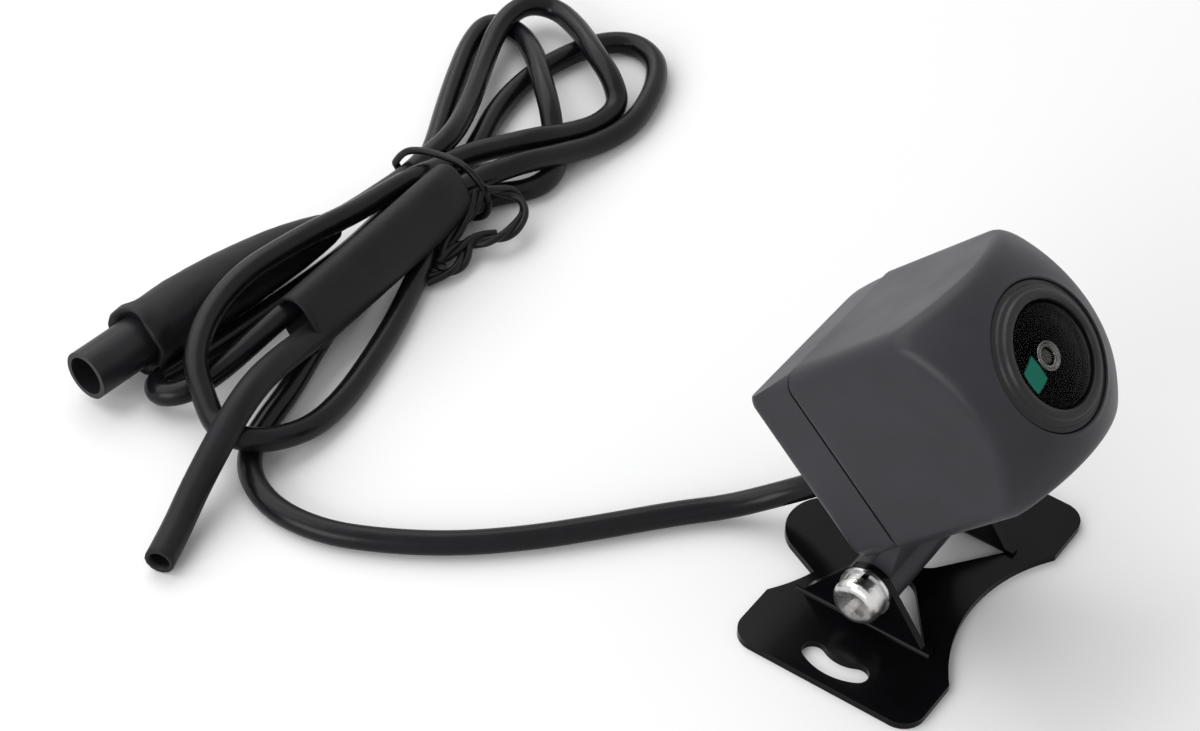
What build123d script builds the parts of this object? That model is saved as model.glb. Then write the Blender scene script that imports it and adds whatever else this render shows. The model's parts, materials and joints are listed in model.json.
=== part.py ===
from build123d import *
from math import atan2, cos, degrees, pi, radians, sin, sqrt, tan
import os

# Square vehicle backup camera on a tilting steel bracket, with its tied lead.
# Millimetres. +Z is up, the lens looks towards -Y, the tilt axis is along X.
# The origin is on the bracket's underside, straight below the tilt axis.

# ---------------------------------------------------------------- bracket
sheet = 1.0                     # steel thickness
bend_inside = 0.5               # inside radius of the ear bends
plate_half_length = 22.0
plate_shift = -0.8              # the plate's middle, seen from the tilt axis
wing_half_depth = 12.8
wing_corner = 3.0
waist_half_length = 13.2        # where the scooped long edges begin
waist_half_depth = 8.6          # half depth at the middle of the scoops
tongue_root_half = 7.4
tongue_shoulder_half = 4.9
tongue_shoulder_reach = 13.9    # from the tilt axis to the rounded end's start
tongue_reach = 16.7
slot_width = 3.0
slot_radius = 6.0               # radius of the curved slots' middle line
slot_middle = 19.0              # from the origin to the slot's middle
slot_half_angle = 30.0
ear_spacing = 21.6              # over the outer faces of the two ears
ear_base_half = 9.4
ear_tip_radius = 3.5
pivot_height = 6.6

# ---------------------------------------------------------------- tilt joint
head_tilt = 46.5                # lens above level at rest, degrees
screw_radius = 1.5              # M3
screw_head_radius = 3.1
screw_head_height = 1.9
screw_reach = 5.5               # thread length inside the lug
washer_radius = 3.4
washer_thickness = 0.5
spring_washer_radius = 3.1
spring_washer_thickness = 0.8
spring_washer_gap = 0.7
running_clearance = 0.05        # radial, and beside the ears
fit_clearance = 0.03            # radial, for parts that do not turn in use
insert_wall = 0.7
lug_radius = 3.4

# ---------------------------------------------------------------- camera head
body_size = 25.4                # width and height of the square body
body_above_pivot = 3.85         # from the tilt axis to the body's underside
edge_radius = 2.2
cover_back = 3.0                # stations along the lens axis, from the tilt axis
cover_front = 10.6
cover_inset = 0.3               # the cover is this much smaller all round
cover_edge = 1.8                # rounding of the cover's rear edges
cover_slope = 0.9               # how far the cover's top falls towards its rear
cover_wall = 2.0
gasket_thickness = 0.5
gasket_inset = 0.6
wall = 2.0
dome_radius = 21.4
dome_centre = 16.7
dome_edge = 0.5
rim_radius = 9.3                # where the dome stops around the lens
trim_radius = 8.9
trim_depth = 1.2
cavity_front = 28.8
spigot_wall = 1.1
spigot_length = 2.0
cavity_corner = 0.8

# ---------------------------------------------------------------- boards
board = 0.8
board_gap = 0.3                 # board edge to the cavity wall
power_board_at = 13.5
sensor_board_at = 20.0
post_offset = 8.6               # the four case screws, from the lens axis
post_radius = 2.1
spacer_radius = 1.8
case_screw_radius = 1.0         # M2
case_screw_head = 1.9
case_screw_head_height = 1.4
case_screw_grip = 4.5           # thread length in the front housing

# ---------------------------------------------------------------- lens
thread_radius = 6.0             # M12 barrel
barrel_head_radius = 7.4
barrel_stand_out = 1.0          # barrel front past the dome's lip
barrel_head_length = 5.0
front_lens_radius = 6.4
front_lens_rim = 1.7            # thickness at the edge
front_lens_bulge = 12.0         # radius of the domed face
front_lens_hollow = 3.1
retainer_depth = 0.6
retainer_radius = 6.95
retainer_opening = 6.2
second_lens_radius = 4.0
second_lens_ball = 7.8
second_lens_centre = 1.7        # greatest thickness
rear_lens_radius = 3.2
rear_lens_ball = 5.2
aperture_radius = 1.2
aperture_thickness = 1.0
spacer_ring_wall = 0.7
rear_opening = 2.6              # light way out of the barrel
holder_radius = 7.2
holder_length = 6.2
holder_foot = 13.4
holder_ear = 9.9
holder_screw_at = 8.7
holder_screw_radius = 0.8       # M1.6
seal_section = 0.5

# ---------------------------------------------------------------- lead
cable = 3.2                     # diameter of the camera lead
gland_offset = -6.0             # gland axis, from the lens axis
gland_length = 5.0
gland_radius = 2.9
gland_tip_radius = 2.2
gland_hole = 2.4
trigger = 3.8                   # diameter of the trigger lead's sleeve
trigger_bore = 1.4
trigger_open = 6.0              # the open end's depth
trigger_side = 2.4              # in the sleeve's mouth, towards the camera from its middle
plug_side = -2.6
hank_corner = 2.4
tie_x = 24.0
tie_width = 3.0
tie_wall = 0.7
bundle_y = 88.0
bundle_length = 5.2
bundle_width = 9.0
bundle_height = 7.9
bundle_corner = 2.0
sleeve_start = (-15.6, 83.2)
sleeve_rear_y = 83.8
sleeve_width = 10.0
sleeve_height = 6.0
sleeve_wall = 0.5
sleeve_mouth = 7.5
plug_rear = (5.0, 95.7)
plug_front = (-29.0, 98.9)
plug_nose = 9.0
plug_radius = 5.0
plug_nose_radius = 3.4
plug_nose_bore = 2.7
plug_mouth = 4.5                # depth of the wide bore in front of the contacts
plug_core_radius = 2.5
contact_radius = 0.35
contact_circle = 1.3
contact_setback = 0.2

os.makedirs("parts", exist_ok=True)


def save(name, shape):
    pieces = list(shape) if isinstance(shape, (list, tuple)) else [shape]
    solids = [s for piece in pieces for s in piece.solids()]
    export_step(Compound(children=solids) if len(solids) > 1 else solids[0], f"parts/{name}.step")


def turned(points):
    """A solid turned about the lens axis from (radius, station) points."""
    return revolve(Plane.XZ * make_face(Polyline(*points, close=True)), axis=Axis.Z)


def ring(outer, inner, start, end):
    """A plain ring about the lens axis between two stations."""
    tube = Pos(0, 0, start) * extrude(Circle(outer), end - start)
    return tube - Pos(0, 0, start) * extrude(Circle(inner), end - start)


def disc(radius, start, end):
    return Pos(0, 0, start) * extrude(Circle(radius), end - start)


def block(width, height, start, end, x=0, y=0, corner=0):
    """A block across the lens axis, from one station to another."""
    face = RectangleRounded(width, height, corner) if corner else Rectangle(width, height)
    return Pos(x, y, start) * extrude(face, end - start)


def four(shape, offset):
    return [Pos(sx * offset, sy * offset, 0) * shape for sx in (-1, 1) for sy in (-1, 1)]


# The head is modelled about its own lens axis: Z is the station along that axis
# from the tilt axis, and Y is up the body's rear face.
axis_above_pivot = body_above_pivot + body_size / 2
head_place = Pos(0, 0, pivot_height) * Rot(90 - head_tilt, 0, 0) * Pos(0, axis_above_pivot, 0)


def on_head(shape):
    if isinstance(shape, (list, tuple)):
        return [head_place * piece for piece in shape]
    return head_place * shape


def all_of(shapes):
    """One shape from a list, for use as a cutter or a fused group."""
    first, *rest = shapes
    for shape in rest:
        first = first + shape
    return first


# ================================================================ bracket
def scooped_edge(side):
    """The long edge of the plate, from the left wing to the right one."""
    return ThreePointArc(
        (-waist_half_length, side * wing_half_depth),
        (0, side * waist_half_depth),
        (waist_half_length, side * wing_half_depth),
    )


def plate_outline():
    front = scooped_edge(-1)
    rear = scooped_edge(1)
    right = Polyline(
        front @ 1,
        (plate_half_length, -wing_half_depth),
        (plate_half_length, wing_half_depth),
        rear @ 1,
    )
    left = Polyline(
        rear @ 0,
        (-plate_half_length, wing_half_depth),
        (-plate_half_length, -wing_half_depth),
        front @ 0,
    )
    face = make_face([front, right, rear, left])
    corners = [v for v in face.vertices() if abs(v.X) > plate_half_length - 0.01]
    return Pos(0, plate_shift) * fillet(corners, wing_corner)


def tongue_outline():
    end = ThreePointArc(
        (tongue_shoulder_half, tongue_shoulder_reach),
        (0, tongue_reach),
        (-tongue_shoulder_half, tongue_shoulder_reach),
    )
    sides = Polyline(
        end @ 1,
        (-tongue_root_half, waist_half_depth),
        (-tongue_root_half, 0),
        (tongue_root_half, 0),
        (tongue_root_half, waist_half_depth),
        end @ 0,
    )
    return make_face([end, sides])


def rounded_tip(base_half, centre, tip):
    """A triangle on the Y axis whose point is a round of a given radius."""
    reach = sqrt(centre ** 2 + base_half ** 2)
    lean = atan2(centre, base_half) + atan2(tip, sqrt(reach ** 2 - tip ** 2))
    touch_x = centre + tip * cos(lean)
    touch_y = tip * sin(lean)
    arc = ThreePointArc((touch_x, -touch_y), (centre + tip, 0), (touch_x, touch_y))
    sides = Polyline(arc @ 1, (0, base_half), (0, -base_half), arc @ 0)
    return make_face([arc, sides])


def curved_slot():
    centre = slot_middle - slot_radius
    span = radians(slot_half_angle)
    start = (centre + slot_radius * cos(span), -slot_radius * sin(span))
    end = (centre + slot_radius * cos(span), slot_radius * sin(span))
    arc = ThreePointArc(start, (slot_middle, 0), end)
    return Pos(0, plate_shift) * SlotArc(arc, slot_width)


bend_outside = bend_inside + sheet
ear_outer = ear_spacing / 2
ear_inner = ear_outer - sheet
bend_start = ear_outer + bend_inside
bend_length = (bend_inside + sheet / 2) * pi / 2
blank_centre = bend_length + pivot_height - bend_outside    # tilt hole in the flat blank


def ear():
    """One upright ear with its bend, on the +X side."""
    low = Polyline(
        (bend_start + sheet, 0),
        (bend_start + sheet, sheet),
        (bend_start, sheet),
    )
    inside = CenterArc((bend_start, bend_outside), bend_inside, 180, 90)
    outside = CenterArc((bend_start, bend_outside), bend_outside, 180, 90)
    top = pivot_height + ear_tip_radius + 1
    upright = Polyline((ear_outer, bend_outside), (ear_outer, top), (ear_inner, top), (ear_inner, bend_outside))
    close = Line((bend_start, 0), (bend_start + sheet, 0))
    section = Plane.XZ * make_face([low, inside, upright, outside, close])
    strip = extrude(section, ear_base_half, both=True)
    side_view = Plane.YZ * Rot(0, 0, 90) * rounded_tip(ear_base_half, pivot_height, ear_tip_radius)
    side_view = extrude(side_view, plate_half_length)
    foot = Pos(0, 0, bend_outside / 2) * Box(
        2 * plate_half_length, 2 * ear_base_half, bend_outside)
    hole = Pos(ear_inner, 0, pivot_height) * Rot(0, 90, 0) * Cylinder(
        screw_radius + running_clearance, 4 * sheet)
    return strip & (side_view + foot) - hole


def bracket():
    plate = extrude(plate_outline() + tongue_outline(), sheet)
    opening = Pos(bend_start, 0) * Rot(0, 0, 180) * rounded_tip(
        ear_base_half, blank_centre, ear_tip_radius)
    right_cuts = extrude(opening, sheet) + extrude(curved_slot(), sheet)
    plate = plate - right_cuts - mirror(right_cuts, about=Plane.YZ)
    return plate + ear() + mirror(ear(), about=Plane.YZ)


# ================================================================ tilt joint
lug_half = ear_inner - running_clearance


def across(shape, x):
    """Lays a shape made along Z on the tilt axis, pointing to +X, from x."""
    return Pos(x, 0, pivot_height) * Rot(0, 90, 0) * shape


def on_right(radius, inner, x0, x1):
    body = extrude(Circle(radius), x1 - x0)
    if inner:
        body = body - extrude(Circle(inner), x1 - x0)
    return across(body, x0)


def flat_washer():
    return on_right(washer_radius, screw_radius + running_clearance, ear_outer, ear_outer + washer_thickness)


def spring_washer():
    start = ear_outer + washer_thickness
    coil = on_right(
        spring_washer_radius, screw_radius + running_clearance, start, start + spring_washer_thickness)
    split = Pos(start, 0, pivot_height + spring_washer_radius) * Rot(20, 0, 0) * Box(
        4 * spring_washer_thickness, spring_washer_gap, 2 * spring_washer_radius)
    return coil - split


def pivot_screw():
    seat = ear_outer + washer_thickness + spring_washer_thickness
    shank = on_right(screw_radius, 0, lug_half - screw_reach, seat)
    head = across(extrude(Circle(screw_head_radius), screw_head_height), seat)
    rim = head.edges().sort_by(Axis.X)[-1]
    head = fillet(rim, screw_head_height * 0.55)
    recess = Box(screw_head_radius * 0.36, screw_head_radius * 1.15, screw_head_height * 1.3)
    cross = recess + Rot(0, 0, 90) * recess
    cross = across(Rot(0, 0, 25) * cross, seat + screw_head_height)
    return shank + head - cross


def thread_insert():
    start = lug_half - screw_reach
    return on_right(
        screw_radius + insert_wall, screw_radius + fit_clearance, start, lug_half)


def both_sides(shape):
    return [shape, mirror(shape, about=Plane.YZ)]


# ================================================================ housing shells
half = body_size / 2
cavity = body_size - 2 * wall
lip_station = dome_centre + sqrt(dome_radius ** 2 - rim_radius ** 2)
gasket_front = cover_front + gasket_thickness
screw_engage = sensor_board_at + board


def front_housing():
    prism = block(body_size, body_size, gasket_front, lip_station, corner=edge_radius)
    shell = prism & Pos(0, 0, dome_centre) * Sphere(dome_radius)
    rims = [e for e in shell.edges() if e.center().Z > cavity_front - 2 and e.geom_type != GeomType.LINE]
    outer = [e for e in rims if e.center().Z < lip_station - 0.2]
    shell = fillet(outer, dome_edge)
    inside = block(cavity, cavity, gasket_front, cavity_front, corner=cavity_corner)
    posts = all_of(four(disc(post_radius, screw_engage, cavity_front), post_offset))
    inside = inside - posts
    lens_bore = disc(barrel_head_radius + fit_clearance, cavity_front, lip_station)
    trim_seat = disc(trim_radius, lip_station - trim_depth, lip_station)
    holes = all_of(four(disc(
        case_screw_radius + fit_clearance, screw_engage, screw_engage + case_screw_grip + 0.5), post_offset))
    return shell - inside - lens_bore - trim_seat - holes


def rear_cover():
    size = body_size - 2 * cover_inset
    shell = block(size, size, cover_back, cover_front, corner=edge_radius)
    back_edges = shell.edges().group_by(Axis.Z)[0]
    shell = fillet(back_edges, cover_edge)
    slope_outline = Polyline(
        (size / 2, cover_front), (size / 2, cover_back), (size / 2 - cover_slope, cover_back), close=True)
    shell = shell - extrude(Plane.YZ * make_face(slope_outline), size / 2, both=True)
    spigot_size = cavity - 2 * fit_clearance
    spigot = block(
        spigot_size, spigot_size, cover_front, gasket_front + spigot_length, corner=cavity_corner)
    inner = spigot_size - 2 * spigot_wall
    hollow = block(inner, inner, cover_back + cover_wall, gasket_front + spigot_length)
    posts = all_of(four(disc(spacer_radius, cover_back + cover_wall, power_board_at), post_offset))
    holes = all_of(four(disc(
        case_screw_radius + running_clearance, cover_back, power_board_at), post_offset))
    heads = all_of(four(disc(
        case_screw_head + running_clearance, cover_back, cover_back + case_screw_head_height), post_offset))
    gland = Pos(0, gland_offset, 0) * disc(gland_hole, cover_back, cover_back + cover_wall)
    return shell + spigot - hollow + posts - holes - heads - gland + lug()


def lug():
    """The bar under the cover that the tilt screws thread into."""
    down = -axis_above_pivot
    underside = down + body_above_pivot
    turn = Pos(-lug_half, down, 0) * Rot(0, 90, 0)
    bar = turn * extrude(Circle(lug_radius), 2 * lug_half)
    web_outline = Polyline(
        (down, -lug_radius),
        (underside, cover_back + edge_radius),
        (underside + cover_wall / 2, cover_back + edge_radius),
        (underside + cover_wall / 2, cover_front - cover_wall),
        (underside, cover_front - cover_wall),
        (down, lug_radius),
        close=True,
    )
    web = extrude(Plane.YZ * make_face(web_outline), lug_half, both=True)
    seat = extrude(Circle(screw_radius + insert_wall + fit_clearance), screw_reach)
    right_seat = Pos(lug_half - screw_reach, down, 0) * Rot(0, 90, 0) * seat
    return bar + web - right_seat - mirror(right_seat, about=Plane.YZ)


def case_gasket():
    size = body_size - 2 * gasket_inset
    outer = block(size, size, cover_front, gasket_front, corner=edge_radius)
    return outer - block(cavity, cavity, cover_front, gasket_front, corner=cavity_corner)


def case_screws():
    seat = cover_back + case_screw_head_height
    head = disc(case_screw_head, seat - case_screw_head_height + 0.3, seat)
    slot = block(case_screw_head * 0.36, case_screw_head * 1.3, seat - 1.2, seat - 0.5)
    shank = disc(case_screw_radius, seat, screw_engage + case_screw_grip)
    return four(head + shank - slot - Rot(0, 0, 90) * slot, post_offset)


# ================================================================ boards
board_size = cavity - 2 * board_gap


def bare_board(start):
    sheet_of_board = block(board_size, board_size, start, start + board, corner=1.2)
    holes = all_of(four(disc(case_screw_radius + running_clearance, start, start + board), post_offset))
    return sheet_of_board - holes


header_y = 7.6
pin_pitch = 1.27
pin_count = 6
pin_radius = 0.25


def pin_row(shape):
    first = -(pin_count - 1) / 2 * pin_pitch
    return [Pos(first + i * pin_pitch, header_y, 0) * shape for i in range(pin_count)]


def power_board():
    pins = all_of(pin_row(disc(pin_radius + fit_clearance, power_board_at, power_board_at + board)))
    return bare_board(power_board_at) - pins


def sensor_board():
    start = sensor_board_at
    pins = all_of(pin_row(disc(pin_radius + fit_clearance, start, start + board)))
    screws = disc(holder_screw_radius + fit_clearance, start, start + board)
    return bare_board(start) - pins - Pos(holder_screw_at, 0) * screws - Pos(-holder_screw_at, 0) * screws


def board_spacers():
    return four(
        ring(spacer_radius, case_screw_radius + running_clearance, power_board_at + board, sensor_board_at),
        post_offset)


def board_header():
    length = pin_count * pin_pitch
    body = block(length, 2.2, power_board_at + board, sensor_board_at, y=header_y)
    return body - all_of(pin_row(disc(pin_radius + fit_clearance, power_board_at, sensor_board_at + board)))


def header_pins():
    return pin_row(disc(pin_radius, power_board_at - 0.4, sensor_board_at + board + 0.4))


def power_parts():
    """Converter coil, capacitors and the video chip on the power board."""
    top = power_board_at + board
    coil = block(4.4, 4.4, top, top + 2.4, x=-4.2, y=-1.5, corner=0.6)
    capacitor = Pos(4.6, 2.2) * disc(1.7, top, top + 3.6)
    chip = block(4.6, 4.6, top, top + 0.9, x=4.2, y=-3.4)
    diode = block(2.4, 1.4, top, top + 1.0, x=-4.0, y=3.6)
    return [coil, capacitor, chip, diode]


def image_sensor():
    top = sensor_board_at + board
    return block(6.4, 5.4, top, top + 1.0)


socket_front = power_board_at
socket_rear = power_board_at - 2.6


def wire_socket():
    body = block(6.6, 3.6, socket_rear, socket_front, y=gland_offset)
    return body - block(5.6, 2.6, socket_rear, socket_front - 0.6, y=gland_offset)


def wire_plug():
    body = block(5.5, 2.5, socket_rear - 1.2, socket_front - 0.65, y=gland_offset)
    holes = [Pos(x, gland_offset) * disc(0.42, socket_rear - 1.2, socket_rear) for x in wire_places]
    return body - all_of(holes)


wire_places = (-1.5, -0.5, 0.5, 1.5)
wire_radius = 0.4
wire_start = cover_back + cover_wall + 0.9


def inner_leads():
    return [Pos(x, gland_offset) * disc(wire_radius, wire_start, socket_rear - 0.1) for x in wire_places]


# ================================================================ lens
barrel_front = lip_station + barrel_stand_out
barrel_step = barrel_front - barrel_head_length
groove_start = barrel_step + 0.9
groove_length = 2 * seal_section + 0.2
front_lens_edge = barrel_front - retainer_depth
front_lens_seat = front_lens_edge - front_lens_rim
second_ball_at = front_lens_seat - spacer_ring_wall - sqrt(
    second_lens_ball ** 2 - (second_lens_radius - spacer_ring_wall) ** 2)
second_lens_front = second_ball_at + second_lens_ball
second_lens_rear = second_lens_front - second_lens_centre
aperture_at = second_lens_rear - aperture_thickness
rear_lens_seat = aperture_at - 4.6
rear_ball_at = rear_lens_seat - 2.0
rear_spacer_start = rear_ball_at + sqrt(rear_lens_ball ** 2 - (rear_lens_radius - spacer_ring_wall) ** 2)
barrel_rear = rear_lens_seat - 0.8
holder_start = sensor_board_at + board
holder_floor = holder_start + 1.7
filter_thickness = 0.4


def lens_holder():
    front = holder_start + holder_length
    foot = block(holder_foot, holder_foot, holder_start, holder_start + 2.0)
    arms = block(2 * holder_ear, 4.0, holder_start, holder_start + 2.0)
    barrel = disc(holder_radius, holder_start, front)
    pocket = block(7.6, 6.6, holder_start, holder_floor)
    bore = disc(thread_radius + fit_clearance, holder_floor, front)
    screws = disc(holder_screw_radius, holder_start, holder_start + 2.0)
    body = foot + arms + barrel - pocket - bore
    return body - Pos(holder_screw_at, 0) * screws - Pos(-holder_screw_at, 0) * screws


def holder_screws():
    under = sensor_board_at
    head = disc(1.3, under - 0.9, under)
    shank = disc(holder_screw_radius - fit_clearance, under, holder_start + 1.8)
    slot = block(2.0, 0.4, under - 0.9, under - 0.5)
    return [Pos(x, 0) * (head + shank - slot) for x in (-holder_screw_at, holder_screw_at)]


def infrared_filter():
    return disc(thread_radius - fit_clearance, holder_floor, holder_floor + filter_thickness)


def lens_barrel():
    groove_radius = barrel_head_radius - 2 * seal_section
    front_bore = front_lens_radius + fit_clearance
    middle_bore = second_lens_radius + fit_clearance
    rear_bore = rear_lens_radius + fit_clearance
    retainer_bore = retainer_radius + fit_clearance
    outline = [
        (rear_opening, barrel_rear),
        (thread_radius, barrel_rear),
        (thread_radius, barrel_step),
        (barrel_head_radius, barrel_step),
        (barrel_head_radius, groove_start),
        (groove_radius, groove_start),
        (groove_radius, groove_start + groove_length),
        (barrel_head_radius, groove_start + groove_length),
        (barrel_head_radius, barrel_front - 0.25),
        (barrel_head_radius - 0.25, barrel_front),
        (retainer_bore, barrel_front),
        (retainer_bore, front_lens_edge),
        (front_bore, front_lens_edge),
        (front_bore, front_lens_seat),
        (middle_bore, front_lens_seat),
        (middle_bore, aperture_at),
        (rear_bore, aperture_at),
        (rear_bore, rear_lens_seat),
        (rear_opening, rear_lens_seat),
    ]
    return turned(outline)


def lens_seal():
    middle = groove_start + groove_length / 2
    section = seal_section - fit_clearance / 2
    return Pos(0, 0, middle) * Torus(barrel_head_radius - seal_section, section)


def front_lens():
    """A domed outer element with a deep hollow behind it."""
    clear = retainer_opening - fit_clearance
    sag = front_lens_bulge - sqrt(front_lens_bulge ** 2 - clear ** 2)
    ball = Pos(0, 0, front_lens_edge + sag - front_lens_bulge) * Sphere(front_lens_bulge)
    blank = disc(front_lens_radius, front_lens_seat, front_lens_edge)
    cap = disc(clear, front_lens_edge - 0.2, front_lens_edge + sag + 1) & ball
    hollow = Pos(0, 0, front_lens_seat - 0.5) * Sphere(front_lens_hollow)
    return blank + cap - hollow


def lens_retainer():
    outline = [
        (retainer_opening, front_lens_edge),
        (retainer_radius, front_lens_edge),
        (retainer_radius, barrel_front),
        (retainer_opening + 0.35, barrel_front),
        (retainer_opening, front_lens_edge + 0.25),
    ]
    return turned(outline)


def second_lens():
    blank = disc(second_lens_radius, second_lens_rear, second_lens_front + 1)
    return blank & Pos(0, 0, second_ball_at) * Sphere(second_lens_ball)


def rear_lens():
    blank = disc(rear_lens_radius, rear_lens_seat, aperture_at - 0.4)
    return blank & Pos(0, 0, rear_ball_at) * Sphere(rear_lens_ball)


def lens_spacers():
    front_start = front_lens_seat - spacer_ring_wall
    return [
        ring(second_lens_radius, second_lens_radius - spacer_ring_wall, front_start, front_lens_seat),
        ring(rear_lens_radius, rear_lens_radius - spacer_ring_wall, rear_spacer_start, aperture_at),
    ]


def aperture_ring():
    return ring(second_lens_radius, aperture_radius, aperture_at, second_lens_rear)


def lens_trim_ring():
    """The stepped ring around the barrel's front."""
    back = lip_station - trim_depth
    outer = trim_radius - fit_clearance
    inner = barrel_head_radius + fit_clearance
    outline = [
        (inner, back),
        (outer, back),
        (outer, lip_station - 0.5),
        (outer - 0.3, lip_station - 0.15),
        (outer - 0.55, lip_station - 0.5),
        (inner + 0.35, lip_station - 0.5),
        (inner + 0.2, lip_station + 0.1),
        (inner, lip_station + 0.1),
    ]
    return turned(outline)


# ================================================================ gland and lead
def cable_gland():
    back = cover_back
    outline = [
        (0, back - gland_length),
        (gland_tip_radius, back - gland_length),
        (gland_radius, back),
        (gland_hole - fit_clearance, back),
        (gland_hole - fit_clearance, back + cover_wall),
        (gland_radius + 0.3, back + cover_wall),
        (gland_radius + 0.3, back + cover_wall + 0.8),
        (0, back + cover_wall + 0.8),
    ]
    return Pos(0, gland_offset) * (turned(outline) - disc(cable / 2, back - gland_length, wire_start))


def cable_core():
    """The lead's own end, gripped inside the gland."""
    return Pos(0, gland_offset) * disc(cable / 2, cover_back - gland_length, wire_start - 0.1)


def head_point(up, station):
    """World Y and Z of a point in the head's middle plane."""
    tilt = radians(head_tilt)
    up = up + axis_above_pivot
    return (
        -station * cos(tilt) + up * sin(tilt),
        pivot_height + station * sin(tilt) + up * cos(tilt),
    )


def corner_radii(points):
    """The widest arc that the two runs beside each corner leave room for."""
    radii = []
    for before, here, after in zip(points, points[1:], points[2:]):
        first = Vector(*here) - Vector(*before)
        second = Vector(*after) - Vector(*here)
        turn = radians(first.get_angle(second))
        radii.append(0.45 * min(first.length, second.length) / tan(turn / 2))
    return radii


def tube(name, points, diameter):
    radii = corner_radii(points)
    print(name, "radii", [round(r, 1) for r in radii])
    path = FilletPolyline(*points, radius=radii)
    section = Plane(origin=path @ 0, z_dir=path % 0) * Circle(diameter / 2)
    solid = sweep(section, path=path)
    ideal = pi * diameter ** 2 / 4 * path.length
    print(name, "length", round(path.length, 1), "volume", round(solid.volume / ideal, 4), "of ideal")
    return solid


gland_y, gland_z = head_point(gland_offset, cover_back - gland_length)
low = cable / 2

# From the gland down to the surface, then across it to the hank.
lead_route = [
    (0.0, gland_y, gland_z),
    (0.0, gland_y + 3.8, gland_z - 4.0),
    (-1.6, 18.0, 4.3),
    (-5.2, 23.4, 1.9),
    (-10.4, 28.2, low),
    (-17.2, 34.0, low),
    (-24.2, 40.3, low),
    (-30.3, 47.2, low),
    (-34.9, 54.4, low),
    (-37.8, 61.6, low),
    (-37.9, 68.6, low),
    (-32.7, 77.4, low),
]
split_after = 4                 # the lead bends with the head up to this run


def middle(first, second):
    return tuple((a + b) / 2 for a, b in zip(first, second))


split_point = middle(lead_route[split_after], lead_route[split_after + 1])
flex_route = lead_route[:split_after + 1] + [split_point]
floor_route = [split_point] + lead_route[split_after + 1:]


# ---------------------------------------------------------------- hank, tie and plug
def slab(points, height):
    """A closed flat solid standing on the surface, with rounded outline corners."""
    outline = FilletPolyline(*points, radius=hank_corner, close=True)
    return extrude(make_face(outline), height)


bundle_left = tie_x - bundle_length / 2
bundle_right = tie_x + bundle_length / 2


def lower_hank():
    outline = [
        (bundle_left, 84.0),
        (8.0, 79.2),
        (-10.0, 74.6),
        (-24.0, 72.8),
        (-31.4, 76.6),
        (-32.2, 84.6),
        (-27.0, 90.8),
        (-12.0, 91.6),
        (10.0, 90.0),
        (bundle_left, 91.8),
    ]
    return slab(outline, cable)


def upper_hank():
    outline = [
        (bundle_right, 84.0),
        (32.0, 80.6),
        (44.0, 75.4),
        (58.0, 74.2),
        (66.6, 80.0),
        (67.6, 90.0),
        (63.4, 102.4),
        (54.0, 105.4),
        (42.0, 100.0),
        (bundle_right, 92.4),
    ]
    return slab(outline, 2 * cable)


def arch(length, width, height, corner):
    """A block on the surface across the hank, rounded along its top."""
    body = Pos(tie_x, bundle_y, height / 2) * Box(length, width, height)
    return fillet(body.edges().filter_by(Axis.X).group_by(Axis.Z)[-1], corner)


def strand_bundle():
    return arch(bundle_length, bundle_width, bundle_height, bundle_corner)


def twist_tie():
    outer = arch(tie_width, bundle_width + 2 * tie_wall, bundle_height + tie_wall, bundle_corner + tie_wall)
    return outer - arch(tie_width, bundle_width, bundle_height, bundle_corner)


def along(start, end, z):
    """A plane at the first point whose normal runs to the second one."""
    start = Vector(*start, z)
    end = Vector(*end, z)
    return Plane(origin=start, x_dir=Vector(0, 0, 1), z_dir=end - start), (end - start).length


sleeve_z = cable + sleeve_height / 2
sleeve_frame, sleeve_length = along(sleeve_start, (bundle_left, sleeve_rear_y), sleeve_z)


def splice_sleeve():
    corner = sleeve_height / 2 - 0.05
    outer = sleeve_frame * extrude(RectangleRounded(sleeve_height, sleeve_width, corner), sleeve_length)
    size = (sleeve_height - 2 * sleeve_wall, sleeve_width - 2 * sleeve_wall)
    mouth = sleeve_frame * extrude(RectangleRounded(*size, corner - sleeve_wall), sleeve_mouth)
    return outer - mouth


def in_sleeve(side, depth):
    """A point in the sleeve's mouth, beside its middle and some way in."""
    point = sleeve_frame.from_local_coords(Vector(0, side, depth))
    return (point.X, point.Y, point.Z)


plug_frame, plug_body = along(plug_front, plug_rear, plug_radius)
shell_inside = plug_body / 3


def in_plug(past_rear):
    """A point on the plug's axis, past its rear end."""
    point = plug_frame.from_local_coords(Vector(0, 0, plug_body + past_rear))
    return (point.X, point.Y, point.Z)


# The sleeved trigger lead, over the hank and down to its open end.
trigger_route = [
    in_sleeve(trigger_side, sleeve_mouth),
    in_sleeve(trigger_side, -1.0),
    (-23.6, 81.6, 6.1),
    (-30.6, 80.9, 5.4),
    (-38.2, 79.0, 4.0),
    (-46.2, 76.2, 2.5),
    (-54.8, 73.0, trigger / 2),
]
plug_lead_route = [
    in_sleeve(plug_side, sleeve_mouth),
    in_sleeve(plug_side, -0.8),
    (-21.6, 87.4, 5.6),
    (-26.4, 89.0, 4.7),
]
plug_tail_route = [
    (bundle_left, 90.8, plug_radius),
    (17.6, 90.8, plug_radius),
    (13.4, 92.9, plug_radius),
    in_plug(4.5),
    in_plug(0),
]


def trigger_lead():
    solid = tube("trigger_lead", trigger_route, trigger)
    end = Vector(*trigger_route[-1])
    back = Vector(*trigger_route[-2]) - end
    bore = Plane(origin=end, z_dir=back) * extrude(Circle(trigger_bore), trigger_open)
    return solid - bore


def connector_sleeve():
    body = extrude(Circle(plug_radius), plug_body)
    return plug_frame * (body - extrude(Circle(plug_nose_radius + fit_clearance), shell_inside))


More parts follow.
